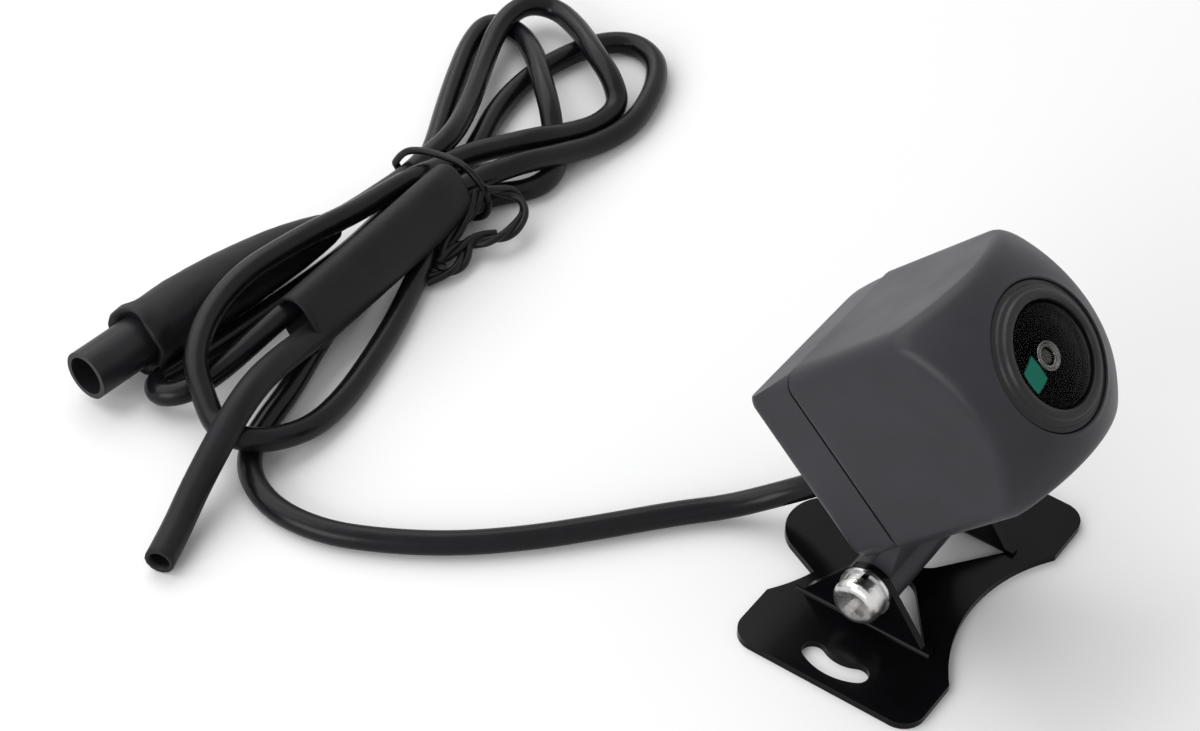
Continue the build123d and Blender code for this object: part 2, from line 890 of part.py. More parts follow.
def connector_shell():
    length = plug_nose + shell_inside
    mouth = extrude(Circle(plug_nose_bore), plug_mouth)
    inside = extrude(Circle(plug_core_radius + fit_clearance), length)
    shell = extrude(Circle(plug_nose_radius), length) - mouth - inside
    return plug_frame * (Pos(0, 0, -plug_nose) * shell)


def pin_circle(shape):
    return [Rot(0, 0, 90 * i + 45) * Pos(contact_circle, 0) * shape for i in range(4)]


def connector_insert():
    core = extrude(Circle(plug_core_radius), shell_inside)
    holes = all_of(pin_circle(extrude(Circle(contact_radius + fit_clearance), shell_inside)))
    return plug_frame * (core - holes)


def connector_pins():
    reach = plug_nose - plug_mouth - contact_setback
    pin = Pos(0, 0, -reach) * extrude(Circle(contact_radius), reach + shell_inside)
    return [plug_frame * p for p in pin_circle(pin)]


# ================================================================ files
save("bracket", bracket())
save("flat_washers", both_sides(flat_washer()))
save("spring_washers", both_sides(spring_washer()))
save("pivot_screws", both_sides(pivot_screw()))
save("thread_inserts", both_sides(thread_insert()))

head_parts = {
    "front_housing": front_housing(),
    "rear_cover": rear_cover(),
    "case_gasket": case_gasket(),
    "case_screws": case_screws(),
    "power_board": power_board(),
    "sensor_board": sensor_board(),
    "board_spacers": board_spacers(),
    "board_header": board_header(),
    "header_pins": header_pins(),
    "power_parts": power_parts(),
    "image_sensor": image_sensor(),
    "wire_socket": wire_socket(),
    "wire_plug": wire_plug(),
    "inner_leads": inner_leads(),
    "lens_holder": lens_holder(),
    "holder_screws": holder_screws(),
    "infrared_filter": infrared_filter(),
    "lens_barrel": lens_barrel(),
    "lens_seal": lens_seal(),
    "front_lens": front_lens(),
    "lens_retainer": lens_retainer(),
    "second_lens": second_lens(),
    "rear_lens": rear_lens(),
    "lens_spacers": lens_spacers(),
    "aperture_ring": aperture_ring(),
    "lens_trim_ring": lens_trim_ring(),
    "cable_gland": cable_gland(),
    "cable_end": cable_core(),
}
for name, shape in head_parts.items():
    save(name, on_head(shape))

save("cable_flex", tube("cable_flex", flex_route, cable))
save("main_cable", tube("main_cable", floor_route, cable))
save("trigger_lead", trigger_lead())
save("lower_hank", lower_hank())
save("upper_hank", upper_hank())
save("strand_bundle", strand_bundle())
save("twist_tie", twist_tie())
save("splice_sleeve", splice_sleeve())
save("plug_lead", tube("plug_lead", plug_lead_route, cable))
save("plug_tail", tube("plug_tail", plug_tail_route, cable))
save("connector_sleeve", connector_sleeve())
save("connector_shell", connector_shell())
save("connector_insert", connector_insert())
save("connector_pins", connector_pins())
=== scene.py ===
import json
import math
import bpy
import bmesh
from mathutils import Matrix, Vector, noise


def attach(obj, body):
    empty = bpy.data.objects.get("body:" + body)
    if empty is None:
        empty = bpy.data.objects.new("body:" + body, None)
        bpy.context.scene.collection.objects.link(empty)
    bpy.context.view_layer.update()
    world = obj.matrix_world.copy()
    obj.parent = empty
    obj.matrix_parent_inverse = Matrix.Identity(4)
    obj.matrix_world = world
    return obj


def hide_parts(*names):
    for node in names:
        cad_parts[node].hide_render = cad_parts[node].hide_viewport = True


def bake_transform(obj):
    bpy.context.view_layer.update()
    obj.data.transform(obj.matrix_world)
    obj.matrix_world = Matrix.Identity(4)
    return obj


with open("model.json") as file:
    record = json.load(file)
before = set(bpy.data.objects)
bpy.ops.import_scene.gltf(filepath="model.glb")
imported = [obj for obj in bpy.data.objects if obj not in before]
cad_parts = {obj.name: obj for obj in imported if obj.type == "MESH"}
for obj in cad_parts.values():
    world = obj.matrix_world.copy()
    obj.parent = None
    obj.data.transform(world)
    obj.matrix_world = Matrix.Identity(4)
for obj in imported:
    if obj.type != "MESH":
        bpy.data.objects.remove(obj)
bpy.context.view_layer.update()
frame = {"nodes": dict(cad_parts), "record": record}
nodes = frame["nodes"]
mm = 0.001
print("frame loaded,", len(nodes), "nodes")


# ---- shader helpers
class Value:
    # an output socket that can be added, subtracted and multiplied
    def __init__(self, mat, socket):
        self.mat, self.socket = mat, socket

    def math(self, kind, a, b):
        return self.mat.node("ShaderNodeMath", {"operation": kind}, {0: a, 1: b})

    def __add__(self, other): return self.math("ADD", self, other)
    def __radd__(self, other): return self.math("ADD", other, self)
    def __sub__(self, other): return self.math("SUBTRACT", self, other)
    def __rsub__(self, other): return self.math("SUBTRACT", other, self)
    def __mul__(self, other): return self.math("MULTIPLY", self, other)
    def __rmul__(self, other): return self.math("MULTIPLY", other, self)


class Finish:
    # a node material with its Principled shader
    def __init__(self, name):
        self.data = bpy.data.materials.new(name)
        self.data.use_nodes = True
        self.tree = self.data.node_tree
        self.shader = self.tree.nodes["Principled BSDF"]
        self.place = None

    def node(self, kind, settings, inputs, output=0):
        made = self.tree.nodes.new(kind)
        for key, value in settings.items():
            setattr(made, key, value)
        for key, value in inputs.items():
            if isinstance(value, Value):
                self.tree.links.new(value.socket, made.inputs[key])
            else:
                made.inputs[key].default_value = value
        return Value(self, made.outputs[output])

    def put(self, **sockets):
        for name, value in sockets.items():
            target = self.shader.inputs[name.replace("_", " ")]
            if isinstance(value, Value):
                self.tree.links.new(value.socket, target)
            else:
                target.default_value = value

    def where(self):
        if self.place is None:
            self.place = self.node("ShaderNodeTexCoord", {}, {}, "Object")
        return self.place

    def grain(self, scale, detail=2.0, low=0.35, high=0.65):
        inputs = {"Vector": self.where(), "Scale": scale, "Detail": detail}
        speckle = self.node("ShaderNodeTexNoise", {}, inputs, "Fac")
        return self.node("ShaderNodeMapRange", {}, {"Value": speckle, "From Min": low, "From Max": high})

    def blendColour(self, factor, first, second):
        made = self.tree.nodes.new("ShaderNodeMix")
        made.data_type = "RGBA"
        self.tree.links.new(factor.socket, made.inputs[0])
        made.inputs[6].default_value = (*first, 1)
        made.inputs[7].default_value = (*second, 1)
        return Value(self, made.outputs[2])

    def bump(self, height, strength, distance):
        return self.node("ShaderNodeBump", {}, {"Height": height, "Strength": strength, "Distance": distance * mm})


patchNoise = {"scale": 180, "detail": 3.0, "low": 0.3, "high": 0.7}
fineNoise = {"detail": 2.0, "low": 0.25, "high": 0.75}


def plastic(name, dark, light, roughness, spread, grainScale, bumpStrength, bumpDepth,
            metallic=0.0, specular=0.5):
    # colour and roughness drift in soft patches, over a fine grain
    made = Finish(name)
    patches = made.grain(**patchNoise)
    fine = made.grain(grainScale, **fineNoise)
    made.put(
        Base_Color=made.blendColour(patches, dark, light),
        Roughness=roughness + spread * (patches - 0.5),
        Metallic=metallic,
        Normal=made.bump(fine, bumpStrength, bumpDepth),
    )
    made.shader.inputs["Specular IOR Level"].default_value = specular
    return made.data


finishes = {
    "bracket_paint": plastic(
        "bracketPaint", (0.0022, 0.0022, 0.0026), (0.0034, 0.0034, 0.0042),
        roughness=0.20, spread=0.06, grainScale=2600, bumpStrength=0.06, bumpDepth=0.02, specular=0.10),
    "screw_steel": plastic(
        "screwNickel", (0.50, 0.49, 0.48), (0.72, 0.71, 0.70),
        roughness=0.26, spread=0.20, grainScale=1500, bumpStrength=0.45, bumpDepth=0.05, metallic=1.0),
    "spring_steel": plastic(
        "springSteel", (0.42, 0.42, 0.43), (0.60, 0.60, 0.61),
        roughness=0.26, spread=0.12, grainScale=1800, bumpStrength=0.18, bumpDepth=0.03, metallic=1.0),
    "brass": plastic(
        "insertBrass", (0.60, 0.40, 0.14), (0.72, 0.52, 0.22),
        roughness=0.28, spread=0.10, grainScale=1500, bumpStrength=0.10, bumpDepth=0.02, metallic=1.0),
    "housing_front": plastic(
        "frontHousing", (0.0195, 0.0187, 0.0232), (0.0245, 0.0236, 0.0290),
        roughness=0.40, spread=0.08, grainScale=5200, bumpStrength=0.30, bumpDepth=0.03, specular=0.24),
    "housing_rear": plastic(
        "rearHousing", (0.0195, 0.0187, 0.0232), (0.0245, 0.0236, 0.0290),
        roughness=0.40, spread=0.08, grainScale=5200, bumpStrength=0.30, bumpDepth=0.03, specular=0.24),
    "seal_rubber": plastic(
        "sealRubber", (0.003, 0.003, 0.003), (0.005, 0.005, 0.005),
        roughness=0.75, spread=0.08, grainScale=3000, bumpStrength=0.15, bumpDepth=0.02, specular=0.08),
    "small_screws": plastic(
        "caseScrews", (0.40, 0.40, 0.42), (0.55, 0.55, 0.57),
        roughness=0.30, spread=0.12, grainScale=1800, bumpStrength=0.15, bumpDepth=0.02, metallic=1.0),
    "circuit_board": plastic(
        "solderMask", (0.010, 0.090, 0.030), (0.016, 0.120, 0.045),
        roughness=0.30, spread=0.08, grainScale=900, bumpStrength=0.15, bumpDepth=0.02),
    "spacer_nylon": plastic(
        "spacerNylon", (0.52, 0.52, 0.49), (0.60, 0.60, 0.57),
        roughness=0.50, spread=0.08, grainScale=2000, bumpStrength=0.10, bumpDepth=0.02),
    "moulded_black": plastic(
        "mouldedBlack", (0.012, 0.012, 0.012), (0.018, 0.018, 0.018),
        roughness=0.50, spread=0.08, grainScale=2600, bumpStrength=0.20, bumpDepth=0.02),
    "gold_contacts": plastic(
        "goldContacts", (0.75, 0.52, 0.16), (0.85, 0.63, 0.24),
        roughness=0.22, spread=0.08, grainScale=1500, bumpStrength=0.08, bumpDepth=0.01, metallic=1.0),
    "chip_epoxy": plastic(
        "chipEpoxy", (0.016, 0.016, 0.016), (0.022, 0.022, 0.022),
        roughness=0.42, spread=0.08, grainScale=1800, bumpStrength=0.15, bumpDepth=0.01),
    "sensor_glass": plastic(
        "sensorCover", (0.02, 0.03, 0.05), (0.03, 0.04, 0.07),
        roughness=0.10, spread=0.04, grainScale=1200, bumpStrength=0.02, bumpDepth=0.01),
    "socket_white": plastic(
        "socketNylon", (0.62, 0.60, 0.54), (0.70, 0.68, 0.62),
        roughness=0.45, spread=0.08, grainScale=1800, bumpStrength=0.10, bumpDepth=0.02),
    "lead_insulation": plastic(
        "leadInsulation", (0.35, 0.03, 0.02), (0.42, 0.05, 0.03),
        roughness=0.38, spread=0.08, grainScale=1800, bumpStrength=0.10, bumpDepth=0.02),
    "filter_glass": plastic(
        "filterGlass", (0.20, 0.45, 0.50), (0.24, 0.50, 0.56),
        roughness=0.08, spread=0.02, grainScale=800, bumpStrength=0.02, bumpDepth=0.01),
    "lens_black": plastic(
        "lensBlack", (0.0012, 0.0012, 0.0014), (0.002, 0.002, 0.0022),
        roughness=0.60, spread=0.08, grainScale=900, bumpStrength=0.0, bumpDepth=0.02, specular=0.03),
    "inner_glass": plastic(
        "innerGlass", (0.010, 0.011, 0.012), (0.014, 0.015, 0.017),
        roughness=0.06, spread=0.02, grainScale=800, bumpStrength=0.01, bumpDepth=0.01),
    "trim_ring": plastic(
        "trimRing", (0.012, 0.012, 0.0135), (0.016, 0.016, 0.018),
        roughness=0.34, spread=0.08, grainScale=4200, bumpStrength=0.20, bumpDepth=0.03, specular=0.24),
    "gland_rubber": plastic(
        "glandRubber", (0.006, 0.006, 0.006), (0.009, 0.009, 0.009),
        roughness=0.62, spread=0.08, grainScale=3000, bumpStrength=0.20, bumpDepth=0.03, specular=0.15),
    "cable_jacket": plastic(
        "cableJacket", (0.0038, 0.0038, 0.0048), (0.0065, 0.0065, 0.008),
        roughness=0.27, spread=0.08, grainScale=900, bumpStrength=0.20, bumpDepth=0.06, specular=0.17),
    "heat_shrink": plastic(
        "heatShrink", (0.0075, 0.0075, 0.0085), (0.012, 0.012, 0.0135),
        roughness=0.46, spread=0.12, grainScale=1400, bumpStrength=0.35, bumpDepth=0.06, specular=0.14),
    "tie_plastic": plastic(
        "tiePlastic", (0.0038, 0.0038, 0.0045), (0.007, 0.007, 0.008),
        roughness=0.32, spread=0.12, grainScale=1400, bumpStrength=0.30, bumpDepth=0.06, specular=0.17),
    "connector_plastic": plastic(
        "connectorShell", (0.0115, 0.0115, 0.013), (0.016, 0.016, 0.018),
        roughness=0.40, spread=0.10, grainScale=2600, bumpStrength=0.25, bumpDepth=0.04, specular=0.18),
}


# a painted reflection: the front glass glows green where its mirrored view direction falls inside a box, standing
# in for a lit window in the coating; two axes, and its middle and half width along each
paintedReflectionBox = {"across": ((0.334, -0.462, -0.8185), 0.02, 0.20), "up": ((0.991, 0.0955, 0.0275), 0.04, 0.19)}
glassLook = {"tint": (0.93, 0.95, 0.94, 1), "paintedGlintColour": (0.0, 0.115, 0.078), "paintedGlintBlur": 0.03,
             "roughness": 0.03, "specular": 0.18, "rimBlend": 0.45,
             "flatShare": 0.10, "rimShare": 0.55, "paintedGlintShare": 0.75}


def glassFinish():
    made = Finish("lensGlass")
    clear = made.tree.nodes.new("ShaderNodeBsdfTransparent")
    clear.inputs[0].default_value = glassLook["tint"]
    mirrored = made.node("ShaderNodeTexCoord", {}, {}, "Reflection")
    paintedGlintMask = made.node("ShaderNodeNewGeometry", {}, {}, "Backfacing")
    paintedGlintMask = 1 - paintedGlintMask
    for axis, middle, half in paintedReflectionBox.values():
        along = made.node("ShaderNodeVectorMath", {"operation": "DOT_PRODUCT"}, {0: mirrored, 1: axis}, "Value")
        off = made.node("ShaderNodeMath", {"operation": "ABSOLUTE"}, {0: along - middle})
        paintedGlintMask = paintedGlintMask * made.node("ShaderNodeMapRange", {}, {
            "Value": off, "From Min": half, "From Max": half - glassLook["paintedGlintBlur"]})
    haze = made.grain(300, 2.0, 0.2, 0.8)
    # painted reflection: the emission colour is the green glint inside that box, though no lamp is there
    made.put(Base_Color=made.blendColour(haze, (0.001, 0.001, 0.001), (0.002, 0.002, 0.002)),
             Roughness=glassLook["roughness"], Emission_Strength=1.0,
             Emission_Color=made.blendColour(paintedGlintMask, (0.0, 0.0, 0.0), glassLook["paintedGlintColour"]))
    made.shader.inputs["Specular IOR Level"].default_value = glassLook["specular"]
    rim = made.node("ShaderNodeLayerWeight", {}, {"Blend": glassLook["rimBlend"]}, "Facing")
    mixer = made.tree.nodes.new("ShaderNodeMixShader")
    share = glassLook["flatShare"] + glassLook["rimShare"] * rim * rim + glassLook["paintedGlintShare"] * paintedGlintMask
    made.tree.links.new(share.socket, mixer.inputs[0])
    made.tree.links.new(clear.outputs[0], mixer.inputs[1])
    made.tree.links.new(made.shader.outputs[0], mixer.inputs[2])
    made.tree.links.new(mixer.outputs[0], made.tree.nodes["Material Output"].inputs[0])
    return made.data


finishes["lens_glass"] = glassFinish()
# two looks that share the inner glass's slot
finishes["inner_ring"] = plastic(
    "innerElement", (0.06, 0.055, 0.055), (0.42, 0.38, 0.38),
    roughness=0.12, spread=0.06, grainScale=900, bumpStrength=0.05, bumpDepth=0.02, metallic=1.0)
finishes["inner_pupil"] = plastic(
    "innerPupil", (0.012, 0.003, 0.004), (0.030, 0.008, 0.010),
    roughness=0.08, spread=0.04, grainScale=900, bumpStrength=0.02, bumpDepth=0.02, specular=0.9)
print("finishes made")


def putFinish(obj, name):
    obj.data.materials.clear()
    obj.data.materials.append(finishes[name])


for part in frame["record"]["subparts"]:
    putFinish(nodes[part["node"]], part["material_slot"])


# ---- new pieces
def newPiece(name, mesh, slot, body=None, look=None):
    # takes a bmesh or a mesh; its look is the slot's own finish unless another is named
    if isinstance(mesh, bmesh.types.BMesh):
        made = bpy.data.meshes.new(name)
        mesh.to_mesh(made)
        mesh.free()
        mesh = made
    piece = bpy.data.objects.new(name, mesh)
    bpy.context.scene.collection.objects.link(piece)
    putFinish(piece, look or slot)
    for face in mesh.polygons:
        face.use_smooth = True
    if body:
        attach(piece, body)
    return piece


def turnedShape(profile, segments, place):
    # profile points are (radius, station) in mm; a full spin round Z
    shape = bmesh.new()
    points = [shape.verts.new((radius * mm, 0, station * mm)) for radius, station in profile]
    edges = [shape.edges.new(pair) for pair in zip(points, points[1:])]
    bmesh.ops.spin(shape, geom=points + edges, cent=(0, 0, 0), axis=(0, 0, 1),
                   angle=math.tau, steps=segments, use_merge=True, use_duplicate=False)
    bmesh.ops.remove_doubles(shape, verts=shape.verts, dist=0.002 * mm)
    bmesh.ops.recalc_face_normals(shape, faces=shape.faces)
    bmesh.ops.transform(shape, matrix=place, verts=shape.verts)
    return shape


def cordSpline(name, route, radius=0.0, sides=6, caps=False):
    # one open NURBS spline through the route's control points, in mm
    data = bpy.data.curves.new(name, "CURVE")
    data.dimensions = "3D"
    data.resolution_u = 10
    line = data.splines.new("NURBS")
    line.points.add(len(route) - 1)
    for point, (x, y, z) in zip(line.points, route):
        point.co = (x * mm, y * mm, z * mm, 1)
    line.order_u = 3
    line.use_endpoint_u = True
    data.bevel_depth = radius * mm
    data.bevel_resolution = sides
    data.use_fill_caps = caps
    obj = bpy.data.objects.new(name, data)
    bpy.context.scene.collection.objects.link(obj)
    return obj


def asMesh(curve, name):
    bpy.context.view_layer.update()
    graph = bpy.context.evaluated_depsgraph_get()
    mesh = bpy.data.meshes.new_from_object(curve.evaluated_get(graph))
    mesh.name = name
    bpy.data.objects.remove(curve)
    return mesh


def lineOf(route):
    mesh = asMesh(cordSpline("routeLine", route), "routeLine")
    points = [vertex.co.copy() for vertex in mesh.vertices]
    bpy.data.meshes.remove(mesh)
    return points


def lengthOf(points):
    return sum((b - a).length for a, b in zip(points, points[1:]))


# ---- camera
view = {"azimuth": -57.25, "elevation": 43.08, "roll": 3.16, "distance": 362.18,
        "across": -37.69, "up": 25.76, "lens": 88.25, "sensor": 36.0}


def addCamera():
    az, el, roll = (math.radians(view[key]) for key in ("azimuth", "elevation", "roll"))
    back = Vector((math.sin(az) * math.cos(el), -math.cos(az) * math.cos(el), math.sin(el)))
    right = Vector((math.cos(az), math.sin(az), 0))
    up = back.cross(right)
    right, up = math.cos(roll) * right + math.sin(roll) * up, math.cos(roll) * up - math.sin(roll) * right
    place = (back * view["distance"] + right * view["across"] + up * view["up"]) * mm
    data = bpy.data.cameras.new("mainCamera")
    data.lens = view["lens"]
    data.sensor_width = view["sensor"]
    data.clip_start = 0.01
    camera = bpy.data.objects.new("mainCamera", data)
    turn = Matrix((right, up, back)).transposed().to_4x4()
    camera.matrix_world = Matrix.Translation(place) @ turn
    bpy.context.scene.collection.objects.link(camera)
    bpy.context.scene.camera = camera


addCamera()
print("camera placed")

# ---- cords; routes in mm
low = 1.6
cableSize = {"radius": 1.6, "sides": 5}
mainRoute = [
    (0, 9.03, 12.41), (0, 12.83, 8.41), (-1.6, 18, 4.3), (-5.2, 23.0, 1.9), (-9.6, 27.6, low),
    (-18.1, 34.5, low), (-24.4, 40.0, low), (-30.6, 46.6, low), (-35.6, 54.1, low), (-38.7, 60.7, low),
    (-39.4, 67.6, low), (-37.2, 73.4, low), (-33.0, 77.1, low), (-27.7, 78.6, low), (-21.6, 79.8, low),
    (-14, 82.2, low), (-4, 85.0, low), (7.2, 86.8, low), (16, 88.0, low), (24, 88.4, low),
    (33.0, 90.4, low), (41.3, 93.3, low), (49.9, 94.3, low), (57.2, 93.2, low), (64.0, 90.8, low),
    (67.2, 86.8, low), (65.8, 81.8, low), (61.1, 78.6, low), (54.9, 76.6, low), (49.4, 76.0, low),
    (43.4, 77.2, 1.9), (37.4, 78.8, 3.4), (31.4, 80.6, 5.0), (26.0, 82.9, 5.2), (21.5, 83.8, 5.6),
    (16, 83.7, 6.6), (11, 83.6, 7.0),
]
plugRoute = [
    (-9.5, 85.0, 8.2), (-15.1, 85.3, 7.8), (-19.4, 86.0, 6.6), (-23.6, 86.8, 5.2), (-27.8, 87.6, 4.2),
    (-31.8, 88.8, 3.6), (-33.4, 91.8, 2.8), (-31.0, 94.4, 1.8), (-26.4, 93.6, low), (-20, 92.4, low),
    (-12, 91.7, low), (-3, 90.9, low), (6, 90.6, low), (15, 91.4, low), (23, 92.8, low),
    (30.2, 95.6, low), (37.2, 99.2, low), (44.8, 102.8, low), (52.4, 106.0, low), (58.2, 106.8, low),
    (58.4, 101.2, 2.0), (52.9, 94.6, 4.0), (47.4, 89.4, 5.1), (43.4, 85.2, 4.7), (41.2, 83.0, 2.6),
    (38.2, 80.0, low), (34.2, 78.2, low), (29.8, 79.0, low), (26.0, 82.6, low), (20.3, 84.3, low),
    (11.9, 82.5, low), (4.6, 79.8, low), (-2.6, 77.2, low), (-9.8, 75.2, low), (-18.1, 73.3, low),
    (-25.6, 72.7, 2.2), (-31.6, 74.4, 3.6), (-35.0, 77.0, 5.0), (-34.6, 81.0, 4.4), (-32.6, 84.6, 6.0),
    (-30.0, 88.4, 7.8), (-25.0, 91.2, 8.8), (-19.4, 92.7, 9.3), (-13.8, 92.9, 9.8), (-8.2, 92.3, 9.6),
    (-2.0, 91.4, 9.3), (4.4, 90.4, 8.4), (10.6, 89.8, 7.9), (15.5, 89.4, 7.4), (20.0, 89.2, 6.2),
    (24, 89.2, 4.9), (27.8, 88.1, 4.9), (32.1, 85.4, 4.9), (36.9, 82.4, 4.9), (42.6, 80.9, 2.8),
    (47.8, 79.7, low), (53.2, 79.8, low), (55.4, 82.6, 3.8), (57.6, 87.2, 5.0), (62.3, 93.3, 3.8),
    (65.2, 99.6, 3.2), (61.6, 103.0, 4.7), (55.6, 103.2, 4.0), (48.6, 100.6, 3.0), (39.3, 96.1, 3.6),
    (30.4, 92.4, 4.9), (24, 92.2, 4.9), (18.5, 91.9, 4.9), (13.0, 92.4, 5), (8.0, 93.0, 5), (1.0, 94.2, 5),
]
triggerRoute = [
    (-9.5, 81.6, 5.2), (-15.6, 81.2, 5.6), (-21.8, 80.4, 7.2), (-27.4, 79.6, 8.2), (-32.6, 78.5, 8.2),
    (-38.2, 77.4, 6.6), (-44.2, 76.4, 3.8), (-50.2, 74.5, 2.2), (-54.8, 73, 2.06),
]


def addMainCable():
    line = lineOf(mainRoute)
    mesh = asMesh(cordSpline("mainCable", mainRoute, cableSize["radius"], cableSize["sides"], True), "mainCable")
    piece = newPiece("mainCable", mesh, "cable_jacket")
    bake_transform(piece)
    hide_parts("cable_flex", "main_cable", "upper_hank", "strand_bundle")
    print("main cable", round(lengthOf(line), 4), "m")
    return piece, line


def addPlugLead():
    line = lineOf(plugRoute)
    piece = cordSpline("plugLead", plugRoute, cableSize["radius"], cableSize["sides"], True)
    putFinish(piece, "cable_jacket")
    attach(piece, "bracket")
    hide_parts("plug_lead", "plug_tail", "lower_hank")
    print("plug lead", round(lengthOf(line), 4), "m")
    return piece


def addTriggerLead():
    line = lineOf(triggerRoute)
    mesh = asMesh(cordSpline("triggerLead", triggerRoute, 1.9, cableSize["sides"], False), "triggerLead")
    piece = newPiece("triggerLead", mesh, "heat_shrink", "bracket")
    wall = piece.modifiers.new("wall", "SOLIDIFY")
    wall.thickness = 0.5 * mm
    wall.offset = -1
    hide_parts("trigger_lead")
    print("trigger lead", round(lengthOf(line), 4), "m")
    return piece, line


mainCable, mainLine = addMainCable()
plugLead = addPlugLead()
triggerLead, triggerLine = addTriggerLead()

# ---- head front; (radius, station) in mm on the lens axis
headSize = {"tilt": 46.5, "axisHeight": 16.55, "pivot": 6.6, "half": 12.7, "corner": 2.2, "dome": 21.4,
            "domeMiddle": 16.7, "seam": 11.1, "seamEdge": 0.12, "crease": 1.2, "wall": 1.4,
            "frontStart": 26.0, "ringStep": 0.3, "rings": 34, "segments": 192}
lensSize = {"radius": 6.25, "ball": 15.0, "edge": 36.62, "thick": 0.6, "steps": 14}
headPlace = (Matrix.Translation((0, 0, headSize["pivot"] * mm))
             @ Matrix.Rotation(math.radians(90 - headSize["tilt"]), 4, "X")
             @ Matrix.Translation((0, headSize["axisHeight"] * mm, 0)))


def squareReach(angle):
    # distance from the axis to a rounded square's outline
    half, corner = headSize["half"], headSize["corner"]
    c, s = abs(math.cos(angle)), abs(math.sin(angle))
    reach = half / max(c, s)
    core = half - corner
    if reach * min(c, s) > core:
        reach = core * (c + s) + math.sqrt(max(corner ** 2 - (core * (c - s)) ** 2, 0))
    return reach


def shellReach(angle, station):
    # the square's side and the dome, melted into each other
    side = squareReach(angle)
    dome = math.sqrt(max(headSize["dome"] ** 2 - (station - headSize["domeMiddle"]) ** 2, 0))
    near = max(headSize["crease"] - abs(side - dome), 0) / headSize["crease"]
    return min(side, dome) - near ** 2 * headSize["crease"] / 4


def addFrontShell():
    # a radius of 20 stands for the outline, and one down to 15 for that much less than it
    skin, least, seam = 20.0, 15.0, headSize["seam"]
    inside = skin - headSize["wall"]
    rear = [(inside, seam), (skin - headSize["seamEdge"], seam), (skin, seam + 0.14), (skin, seam + 0.6),
            (skin, 16), (skin, 21)]
    front = [(skin, headSize["frontStart"] + headSize["ringStep"] * i) for i in range(headSize["rings"])]
    lip = [(9.24, 36.05), (9.1, 36.1), (8.99, 36.06), (8.93, 35.9), (8.93, 34.7), (7.4, 34.7), (7.4, 29.0)]
    back = [(inside, 27.0), (inside, seam)]
    shape = turnedShape(rear + front + lip + back, headSize["segments"], Matrix.Identity(4))
    for vertex in shape.verts:
        across = Vector((vertex.co.x, vertex.co.y, 0))
        written = across.length / mm
        if written > least:
            angle = math.atan2(across.y, across.x)
            reach = shellReach(angle, vertex.co.z / mm) - (skin - written)
            vertex.co.x, vertex.co.y = math.cos(angle) * reach * mm, math.sin(angle) * reach * mm
    bmesh.ops.recalc_face_normals(shape, faces=shape.faces)
    bmesh.ops.transform(shape, matrix=headPlace, verts=shape.verts)
    piece = newPiece("frontShell", shape, "housing_front", "head")
    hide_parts("front_housing")


def addLensFront():
    surround = [(8.86, 34.6), (8.86, 35.86), (8.74, 35.96), (8.32, 35.98), (8.22, 36.06), (8.16, 36.3),
                (8.06, 36.38), (7.7, 36.4), (7.58, 36.48), (7.5, 36.84), (7.4, 36.94), (6.52, 36.98), (6.4, 36.9), (6.34, 36.6),
                (6.34, 34.6), (8.86, 34.6)]
    ring = newPiece("lensSurround", turnedShape(surround, 128, headPlace), "trim_ring", "head")
    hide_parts("lens_trim_ring", "lens_barrel", "lens_retainer")
    ball, edge, rim, steps = lensSize["ball"], lensSize["radius"], lensSize["edge"], lensSize["steps"]
    sunk = rim - math.sqrt(ball ** 2 - edge ** 2)
    outer = [(edge * i / steps, sunk + math.sqrt(ball ** 2 - (edge * i / steps) ** 2)) for i in range(steps + 1)]
    inner = [(radius * 0.97, station - lensSize["thick"]) for radius, station in reversed(outer)]
    glass = newPiece("frontGlass", turnedShape(outer + inner, 128, headPlace), "lens_glass", "head")
    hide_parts("front_lens")
    funnelLine = [(6.32, 35.9), (5.6, 35.2), (4.2, 34.7), (2.8, 34.6), (1.9, 34.8), (1.8, 34.5), (0.0, 34.5)]
    funnel = newPiece("lensFunnel", turnedShape(funnelLine, 72, headPlace), "lens_black", "head")
    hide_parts("lens_spacers")
    eye = [(1.86, 34.5), (1.86, 35.9), (1.76, 36.08), (1.62, 36.12), (1.48, 36.04), (1.4, 35.86), (1.3, 35.84),
           (1.2, 35.92), (1.1, 35.9), (1.04, 35.75), (1.04, 34.5), (1.86, 34.5)]
    inside = newPiece("innerElement", turnedShape(eye, 64, headPlace), "inner_glass", "head", "inner_ring")
    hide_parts("second_lens")
    pupil = [(1.03, 34.5), (1.03, 35.5), (0.8, 35.66), (0.5, 35.76), (0.0, 35.8)]
    middle = newPiece("innerPupil", turnedShape(pupil, 48, headPlace), "inner_glass", "head", "inner_pupil")
    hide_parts("rear_lens")


addFrontShell()
addLensFront()
print("head front made")

# ---- plug jacket
plugSize = {"rear": (5.0, 95.7), "front": (-29.0, 98.9), "height": 5.0, "radius": 5.0,
            "sag": (0.8, 2.4), "bore": 3.6, "lip": 3.5, "longEdge": 1.5}
plugCrease = {"scale": 420, "least": 0.10, "atLip": 0.45, "flat": 0.10, "lipScale": 300, "lipWave": 0.5}


def axisPlace(start, end, height):
    # Z of the piece runs from start to end
    start, end = Vector((*start, height)) * mm, Vector((*end, height)) * mm
    turn = (end - start).to_track_quat("Z", "Y").to_matrix().to_4x4()
    return Matrix.Translation(start) @ turn, (end - start).length / mm


